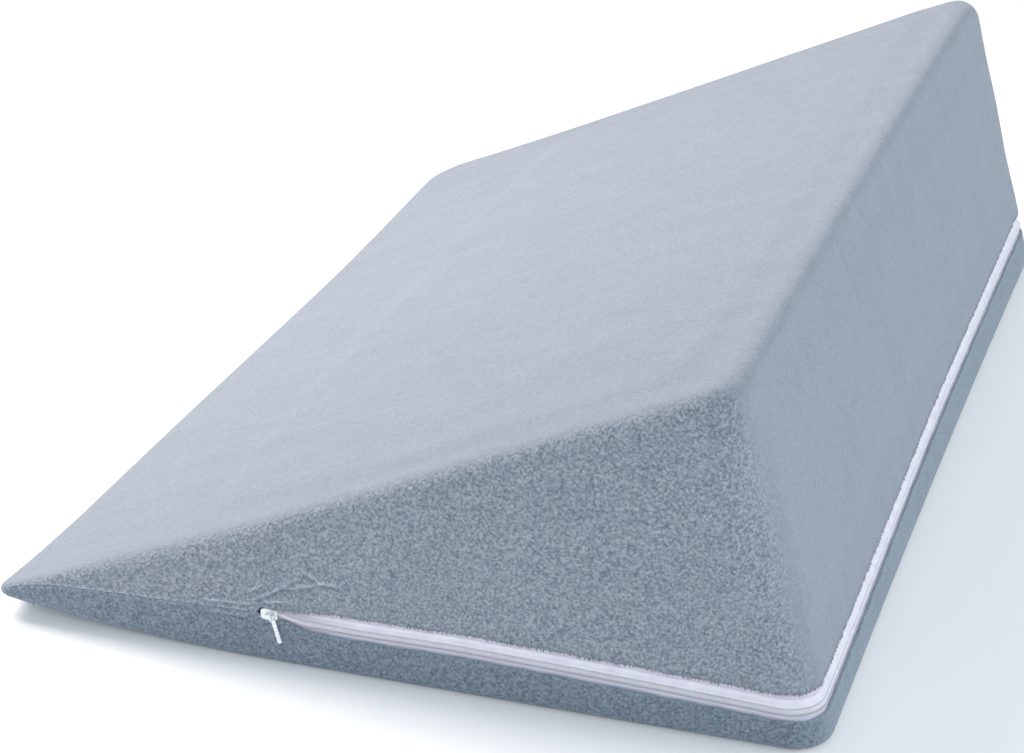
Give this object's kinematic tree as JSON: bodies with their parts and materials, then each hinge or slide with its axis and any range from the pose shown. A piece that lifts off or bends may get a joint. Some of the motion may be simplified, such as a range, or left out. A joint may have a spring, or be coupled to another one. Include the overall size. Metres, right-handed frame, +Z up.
{
  "type": "wedge pillow",
  "caption": "Bed wedge pillow: a filled wedge cushion in a soft pile cover that opens with a white zip round its base.",
  "frame": {"origin": "middle of the underside, on the surface that the pillow rests on", "axes": "+X from the thin toe to the high heel, +Y across the pillow to the far side, +Z up"},
  "size_m": [0.597, 0.9314, 0.2497],
  "materials": {
    "upper_cover": "grey-blue cotton pile with small loops, matt",
    "lower_cover": "the same grey-blue pile, matt",
    "zip_tape": "white woven tape, slightly puckered",
    "zip_coil": "white nylon coil, satin",
    "zip_metal": "white lacquered metal, satin"
  },
  "bodies": {
    "root": {"cushion": "upper_cover", "lower_cover": "lower_cover", "zip_tape_upper": "zip_tape", "zip_tape_lower": "zip_tape", "zip_coil": "zip_coil", "zip_slider": "zip_metal", "zip_pull": "zip_metal"}
  },
  "joints": []
}
